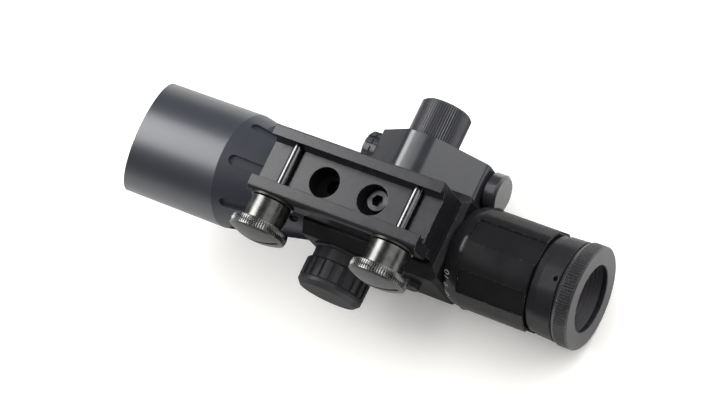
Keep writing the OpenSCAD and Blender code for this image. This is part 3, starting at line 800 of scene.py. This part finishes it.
@dataclass
class ZoomRing:
    """Zoom ring, its numbered shoulder, drive screw and cam sleeve.

    Attributes:
        axis_height: The height of the optical axis.
        lowest_power: The first number on the ring.
        highest_power: The last number.
        highest_angle: Where the last number stands, in degrees from straight down towards the left.
        number_step: The degrees between two numbers.
        number_height: The height of a number.
        type_size: The font's size over that height.
        thinning: How far a number's outline is drawn in.
        number_middle: The X of the row of numbers.
        number_slice: The width of the slices that let a number bend.
        shoulder_rear: The X where the round shoulder meets the ring's body.
        shoulder_radius: The ring's radius there.
        shoulder_arc: The radius of the shoulder's own round.
        paint_rise: How far the paint stands out on each side of the surface.
    """

    axis_height: float = 29.8 * MM
    lowest_power: int = 3
    highest_power: int = 10
    highest_angle: float = -44.4
    number_step: float = 14.4
    number_height: float = 2.7 * MM
    type_size: float = 1.42
    thinning: float = 0.05 * MM
    number_middle: float = -40.7 * MM
    number_slice: float = 0.3 * MM
    shoulder_rear: float = -44.8 * MM
    shoulder_radius: float = 18.9 * MM
    shoulder_arc: float = 10.2 * MM
    paint_rise: float = 0.03 * MM

    def build(self) -> None:
        """Dresses the ring and paints its numbers."""
        Piece.skin("zoom_ring", Finishes.ring)
        Piece.skin("zoom_drive_screw", Finishes.screw)
        Piece.skin("cam_sleeve", Finishes.brass)
        for power in range(self.lowest_power, self.highest_power + 1):
            self.paint_number(power)

    def paint_number(self, power: int) -> None:
        """Wraps one number round the shoulder, with its top towards the objective.

        Args:
            power: The number to paint.
        """
        text = bpy.data.curves.new(f"number_{power}", "FONT")
        text.body = str(power)
        text.size = self.type_size * self.number_height
        text.align_x = "CENTER"
        text.align_y = "CENTER"
        text.extrude = self.paint_rise
        text.offset = -self.thinning
        holder = link(f"number_{power}_text", text)
        mesh = flatten(holder)
        bpy.data.objects.remove(holder)
        turn = math.radians(self.highest_angle - self.number_step * (self.highest_power - power))
        self.slice_up(mesh)
        for vertex in mesh.vertices:
            vertex.co = self.on_shoulder(vertex.co, turn)
        mesh.name = f"zoom_number_{power}"
        Piece.add(f"zoom_number_{power}", mesh, Finishes.white, "zoom_ring", "ring_black")

    def slice_up(self, mesh: bpy.types.Mesh) -> None:
        """Cuts a flat number across both ways, so that it can follow a curve.

        Args:
            mesh: The number's mesh, which is changed.
        """
        work = bmesh.new()
        work.from_mesh(mesh)
        steps = math.ceil(self.number_height / self.number_slice)
        for way in (Vector((1.0, 0.0, 0.0)), Vector((0.0, 1.0, 0.0))):
            for step in range(-steps, steps + 1):
                everything = work.verts[:] + work.edges[:] + work.faces[:]
                cut = way * (step * self.number_slice)
                bmesh.ops.bisect_plane(work, geom=everything, plane_co=cut, plane_no=way)
        work.to_mesh(mesh)
        work.free()

    def on_shoulder(self, flat: Vector, turn: float) -> Vector:
        """Places a point of the flat number on the ring's round shoulder.

        Args:
            flat: The point, with its height off the paper in Z.
            turn: The number's place round the ring, in radians.

        Returns:
            The point in the frame.
        """
        lean = math.asin((self.number_middle - self.shoulder_rear) / self.shoulder_arc)
        lean += flat.y / self.shoulder_arc
        reach = self.shoulder_arc + flat.z
        x = self.shoulder_rear + reach * math.sin(lean)
        radius = self.shoulder_radius - self.shoulder_arc + reach * math.cos(lean)
        angle = turn + flat.x / radius
        return Vector((x, radius * math.sin(angle), self.axis_height - radius * math.cos(angle)))


@dataclass
class Eyepiece:
    """Fixed eyepiece tube, focus ring and the sliding cell with the eye lens."""

    def build(self) -> None:
        """Dresses the eyepiece."""
        Piece.skin("eyepiece_tube", Finishes.eyepiece)
        Piece.skin("lock_screw", Finishes.screw)
        Piece.skin("focus_ring", Finishes.focus)
        Piece.skin("eye_cell", Finishes.inside)
        Piece.skin("eye_lens", Finishes.lens)
        Piece.skin("eye_lock_ring", Finishes.inside)


@dataclass
class NutKnurl:
    """Straight knurl round a nut's flange: one row of long pointed teeth, made by Geometry Nodes.

    Attributes:
        radius: The radius that the teeth stand on.
        middle: How far the middle of the teeth is from the nut's foot.
        half_length: Half the length of a tooth.
        rise: How far a tooth stands out.
        teeth: The number of teeth.
    """

    radius: float = 10.6 * MM
    middle: float = 10.95 * MM
    half_length: float = 1.85 * MM
    rise: float = 0.36 * MM
    teeth: int = 72

    def sizes(self) -> dict[str, Union[float, int]]:
        """Gives the sizes under the names of the tree's inputs."""
        return {"Radius": self.radius, "Middle": self.middle, "Half Length": self.half_length,
                "Rise": self.rise, "Teeth": self.teeth}

    def build_tree(self) -> bpy.types.NodeTree:
        """Builds the tree that stands the teeth on a cylinder along local Z.

        Returns:
            The finished tree.
        """
        tree = bpy.data.node_groups.new("nut_knurl", "GeometryNodeTree")
        tree.interface.new_socket("Geometry", in_out="OUTPUT", socket_type="NodeSocketGeometry")
        for name, size in self.sizes().items():
            kind = "NodeSocketInt" if isinstance(size, int) else "NodeSocketFloat"
            tree.interface.new_socket(name, in_out="INPUT", socket_type=kind).default_value = size
        tree.interface.new_socket("Material", in_out="INPUT", socket_type="NodeSocketMaterial")
        graph = Graph(tree)
        given = graph.node("NodeGroupInput")
        radius = given["Radius"]
        points = graph.node("GeometryNodePoints", None, {"Count": given["Teeth"]})[0]
        pitch = math.tau / given["Teeth"]
        angle = graph.node("GeometryNodeInputIndex")[0] * pitch
        place = graph.node("ShaderNodeCombineXYZ", None, {
            "X": angle.cos() * radius, "Y": angle.sin() * radius, "Z": given["Middle"]})[0]
        placed = graph.node("GeometryNodeSetPosition", None, {"Geometry": points, "Position": place})[0]
        tooth = graph.node("GeometryNodeMeshCone", {"fill_type": "NONE"}, {
            "Vertices": 4, "Radius Top": 0.0, "Radius Bottom": 1.0, "Depth": 1.0})["Mesh"]
        turn = graph.node("ShaderNodeCombineXYZ", None, {"X": 0.0, "Y": math.pi / 2, "Z": angle})[0]
        size = graph.node("ShaderNodeCombineXYZ", None, {
            "X": given["Half Length"], "Y": pitch * radius / 2.0, "Z": given["Rise"]})[0]
        stood = graph.node("GeometryNodeInstanceOnPoints", None, {
            "Points": placed, "Instance": tooth, "Rotation": turn, "Scale": size})[0]
        real = graph.node("GeometryNodeRealizeInstances", None, {"Geometry": stood})[0]
        painted = graph.node("GeometryNodeSetMaterial", None,
                             {"Geometry": real, "Material": given["Material"]})[0]
        graph.node("NodeGroupOutput", None, {"Geometry": painted})
        return tree

    def mesh(self, tree: bpy.types.NodeTree, name: str, finish: Finish, place: Matrix) -> bpy.types.Mesh:
        """Makes a plain mesh of the knurl at a place.

        Args:
            tree: The knurl's tree.
            name: The mesh's name.
            finish: The finish of the teeth.
            place: Where the nut's foot stands, with local Z along its axis.

        Returns:
            The finished mesh.
        """
        holder = link(f"{name}_maker", bpy.data.meshes.new(f"{name}_seed"))
        maker = holder.modifiers.new("knurl", "NODES")
        maker.node_group = tree
        sockets = {item.name: item.identifier for item in tree.interface.items_tree}
        for size_name, size in self.sizes().items():
            maker[sockets[size_name]] = size
        maker[sockets["Material"]] = finish.material()
        mesh = flatten(holder)
        holder.modifiers.remove(maker)
        bpy.data.objects.remove(holder)
        mesh.name = name
        mesh.transform(place)
        return mesh


@dataclass
class RailClamp:
    """Clamp base, sliding jaw, cross bolts, washers and the two thumb nuts.

    Attributes:
        bolt_half_pitch: Half the distance between the two bolts.
        bolt_height: The height of their axes.
        nut_foot: The Y of a nut's inner end.
    """

    bolt_half_pitch: float = 25.02 * MM
    bolt_height: float = -0.8 * MM
    nut_foot: float = -14.1 * MM

    def build(self) -> None:
        """Dresses the clamp and knurls its nuts."""
        Piece.skin("clamp_base", Finishes.clamp)
        Piece.skin("clamp_jaw", Finishes.jaw)
        Piece.skin("base_screw", Finishes.screw)
        Piece.skin("cross_bolts", Finishes.bolt)
        Piece.skin("jaw_washers", Finishes.washer)
        knurl = NutKnurl()
        tree = knurl.build_tree()
        for end, side in (("front", 1.0), ("rear", -1.0)):
            foot = Vector((side * self.bolt_half_pitch, self.nut_foot, self.bolt_height))
            self.plain_flange(Piece.skin(f"{end}_thumb_nut", Finishes.nut), foot, knurl.radius)
            place = Matrix.Translation(foot) @ Matrix.Rotation(math.pi / 2, 4, "X")
            mesh = knurl.mesh(tree, f"{end}_nut_knurl", Finishes.knurl, place)
            Piece.add(f"{end}_nut_knurl", mesh, Finishes.knurl, f"{end}_nut", "nut_steel")

    def plain_flange(self, nut: bpy.types.Object, foot: Vector, radius: float) -> None:
        """Turns the coarse teeth of a nut's flange down, to make room for the fine knurl.

        Args:
            nut: The nut's skin.
            foot: A point on the nut's axis, which lies along Y.
            radius: The radius that is left.
        """
        for vertex in nut.data.vertices:
            arm = vertex.co - foot
            reach = math.hypot(arm.x, arm.z)
            if reach > radius:
                vertex.co.x = foot.x + arm.x * radius / reach
                vertex.co.z = foot.z + arm.z * radius / reach


class Shows(Enum):
    """Where a lamp's light shows: on everything, in shiny surfaces only, or on matt ones only."""

    EVERYWHERE = 0
    MIRRORED = 1
    SOFTLY = 2


@dataclass(frozen=True)
class SoftBox:
    """A soft rectangular lamp that looks at the middle of the sight.

    Attributes:
        name: The lamp's name.
        towards: The way from the sight to the lamp.
        distance: How far it stands, in metres.
        across: Its size along Y, as far as its tilt allows, in metres.
        along: Its other size.
        brightness: How bright its face is, whatever its size.
        shows: Where its light shows.
    """

    name: str
    towards: Triple
    distance: float
    across: float
    along: float
    brightness: float
    shows: Shows = Shows.EVERYWHERE

    def add(self, target: Vector) -> None:
        """Adds the lamp, with its power worked out from its brightness.

        Args:
            target: The point that the lamp faces.
        """
        lamp = bpy.data.lights.new(self.name, "AREA")
        lamp.shape = "RECTANGLE"
        lamp.size = self.across
        lamp.size_y = self.along
        lamp.energy = self.brightness * math.pi * self.across * self.along
        holder = link(self.name, lamp)
        way = Vector(self.towards).normalized()
        side = (Vector((0.0, 1.0, 0.0)) - way * way.y).normalized()
        turn = Matrix((side, way.cross(side), way)).transposed()
        holder.matrix_world = Matrix.Translation(target + way * self.distance) @ turn.to_4x4()
        holder.visible_diffuse = self.shows is not Shows.MIRRORED
        holder.visible_glossy = self.shows is not Shows.SOFTLY


@dataclass(frozen=True)
class PhotoCamera:
    """The photograph's camera, solved from the edges of the sight.

    Attributes:
        place: Where it stands.
        right: The way that points right in the picture.
        down: The way that points down in the picture.
        focal_pixels: Its focal length in pixels of the photograph.
        frame_pixels: The photograph's width.
        sensor: The sensor's width in millimetres.
        clip_start: The nearest distance that it sees.
    """

    place: Triple = (-0.33176, -0.15676, -0.66316)
    right: Triple = (-0.8476, 0.4260, 0.3165)
    down: Triple = (-0.3093, -0.8811, 0.3577)
    focal_pixels: float = 2139.87
    frame_pixels: float = 723.0
    sensor: float = 36.0
    clip_start: float = 0.01

    def add(self) -> None:
        """Adds the camera and makes it the scene's own."""
        camera = bpy.data.cameras.new("photo_camera")
        camera.sensor_fit = "HORIZONTAL"
        camera.sensor_width = self.sensor
        camera.lens = self.focal_pixels * self.sensor / self.frame_pixels
        camera.clip_start = self.clip_start
        holder = link("photo_camera", camera)
        right = Vector(self.right).normalized()
        up = -Vector(self.down)
        up = (up - right * up.dot(right)).normalized()
        turn = Matrix((right, up, right.cross(up))).transposed()
        holder.matrix_world = Matrix.Translation(self.place) @ turn.to_4x4()
        bpy.context.scene.camera = holder


@dataclass
class Studio:
    """White table, pale floor, soft lamps and the camera.

    Attributes:
        sheet_gap: The room between the sight and a sheet.
        sheet_reach: How far a sheet runs out from the origin.
        sheet_white: The lightness of both sheets.
        sheet_tint: Their slightly warm tint.
        table_glow: How much light the table gives by itself.
        floor_glow: How much light the floor gives by itself.
        room_mirrored: How bright the room away from the table is in shiny surfaces.
        room_soft: Its soft light.
        table_soft: The soft light from the table's side.
        fill: The soft light from everywhere.
        lamps: The soft boxes round the sight.
    """

    MIRRORED_SPAN: ClassVar[Span] = (-0.15, 0.35)
    ROOM_SPAN: ClassVar[Span] = (0.5, 1.0)
    TABLE_SPAN: ClassVar[Span] = (0.2, 0.9)

    sheet_gap: float = 0.3 * MM
    sheet_reach: float = 3.0
    sheet_white: float = 1.14
    sheet_tint: Colour = (1.0, 0.99, 0.965)
    table_glow: float = 0.03
    floor_glow: float = 0.45
    room_mirrored: float = 0.12
    room_soft: float = 1.42
    table_soft: float = 0.60
    fill: float = 0.04
    lamps: tuple[SoftBox, ...] = (
        SoftBox("key_softbox", (0.695, 0.0, -0.719), 1.0, 0.90, 0.61, 2.9),
        SoftBox("key_glint", (0.68, 0.0, -0.733), 0.98, 0.84, 0.54, 8.1, Shows.MIRRORED),
        SoftBox("left_softbox", (-0.56, 0.52, -0.64), 1.0, 0.80, 0.80, 2.9),
        SoftBox("side_softbox", (0.0, 0.90, -0.45), 1.0, 0.80, 0.80, 2.6, Shows.SOFTLY),
        SoftBox("right_panel", (0.0, -0.95, 0.31), 1.0, 0.50, 0.80, 1.5),
        SoftBox("rear_panel", (-0.98, -0.10, -0.02), 1.0, 0.30, 0.30, 2.4),
        SoftBox("table_bounce", (-0.20, 0.70, 0.68), 1.0, 0.60, 0.60, 1.6),
    )

    def build(self, low: Vector, high: Vector) -> None:
        """Sets the stage round the sight, which rests on its elevation knob and focus ring.

        Args:
            low: The lowest corner of the sight.
            high: Its highest corner.
        """
        knob_low, knob_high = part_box("elevation_knob")
        eye_low, eye_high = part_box("focus_ring")
        slope = (knob_high.z - eye_high.z) / (knob_low.x - eye_low.x)
        table = knob_high.z + self.sheet_gap - slope * knob_low.x
        self.add_sheet("pale_floor", low.z - self.sheet_gap, 0.0, False)
        self.add_sheet("white_table", table, slope, True)
        middle = (low + high) / 2
        for lamp in self.lamps:
            lamp.add(middle)
        self.light_world()
        PhotoCamera().add()
        bpy.context.scene.view_settings.view_transform = "Standard"

    def add_sheet(self, name: str, height: float, slope: float, above: bool) -> None:
        """Adds a wide sheet that shows on the sight's side only.

        Args:
            name: The sheet's name.
            height: Its height over the origin.
            slope: How fast it rises along X.
            above: Whether it lies over the sight, where shiny surfaces show it.
        """
        corners = [(-1, -1), (1, -1), (1, 1), (-1, 1)]
        ordered = corners[::-1] if above else corners
        spread = [(x * self.sheet_reach, y * self.sheet_reach) for x, y in ordered]
        mesh = bpy.data.meshes.new(name)
        mesh.from_pydata([(x, y, height + slope * x) for x, y in spread], [], [(0, 1, 2, 3)])
        glow = self.table_glow if above else self.floor_glow
        mesh.materials.append(self.sheet_material(f"{name}_white", glow))
        sheet = link(name, mesh)
        sheet.visible_shadow = False
        sheet.visible_diffuse = False
        sheet.visible_transmission = False
        sheet.visible_glossy = above
        sheet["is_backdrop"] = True

    def sheet_material(self, name: str, glow: float) -> bpy.types.Material:
        """Gives a white sheet's material, clear from behind.

        Args:
            name: The material's name.
            glow: How much light the sheet gives by itself.

        Returns:
            The new material.
        """
        material = blank_material(name)
        graph = SurfaceGraph(material.node_tree)
        white = lighter(self.sheet_tint, self.sheet_white)
        matt = graph.node("ShaderNodeBsdfDiffuse", None, {"Color": (*white, 1.0)})[0]
        shine = graph.node("ShaderNodeEmission", None, {"Strength": glow})[0]
        lit = graph.node("ShaderNodeAddShader", None, {0: matt, 1: shine})[0]
        clear = graph.node("ShaderNodeBsdfTransparent")[0]
        behind = graph.node("ShaderNodeNewGeometry")["Backfacing"]
        graph.node("ShaderNodeOutputMaterial", None, {"Surface": graph.mix(behind, lit, clear)})
        return material

    def light_world(self) -> None:
        """Makes the world white to the eye and through glass, and dimmer to shiny and matt surfaces."""
        world = bpy.data.worlds.new("white_room")
        bpy.context.scene.world = world
        world.use_nodes = True
        world.node_tree.nodes.clear()
        graph = SurfaceGraph(world.node_tree)
        path = graph.node("ShaderNodeLightPath")
        way = graph.node("ShaderNodeTexCoord")["Generated"]
        height = graph.node("ShaderNodeSeparateXYZ", None, {0: way})["Z"]
        mirrored = height.ease(*self.MIRRORED_SPAN) * (1.0 - self.room_mirrored) + self.room_mirrored
        room = (0.0 - height).ease(*self.ROOM_SPAN) * self.room_soft
        soft = room + height.ease(*self.TABLE_SPAN) * self.table_soft + self.fill
        seen = path["Is Camera Ray"].greatest(path["Is Transmission Ray"])
        strength = seen.greatest(path["Is Glossy Ray"] * mirrored)
        strength = strength.greatest(path["Is Diffuse Ray"] * soft)
        shine = graph.node("ShaderNodeBackground", None, {"Color": (1, 1, 1, 1), "Strength": strength})[0]
        graph.node("ShaderNodeOutputWorld", None, {"Surface": shine})


def main() -> None:
    """Builds the sight's looks and its stage."""
    logging.basicConfig(level=logging.INFO, format="%(name)s: %(message)s")
    low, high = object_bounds()
    assemblies = (ObjectiveBell(), CentreBlock(), Turrets(), LightModule(), ZoomRing(), Eyepiece(),
                  RailClamp())
    for assembly in assemblies:
        assembly.build()
        log.info("%s is dressed", type(assembly).__name__)
    Studio().build(low, high)


if __name__ == "__main__":
    main()
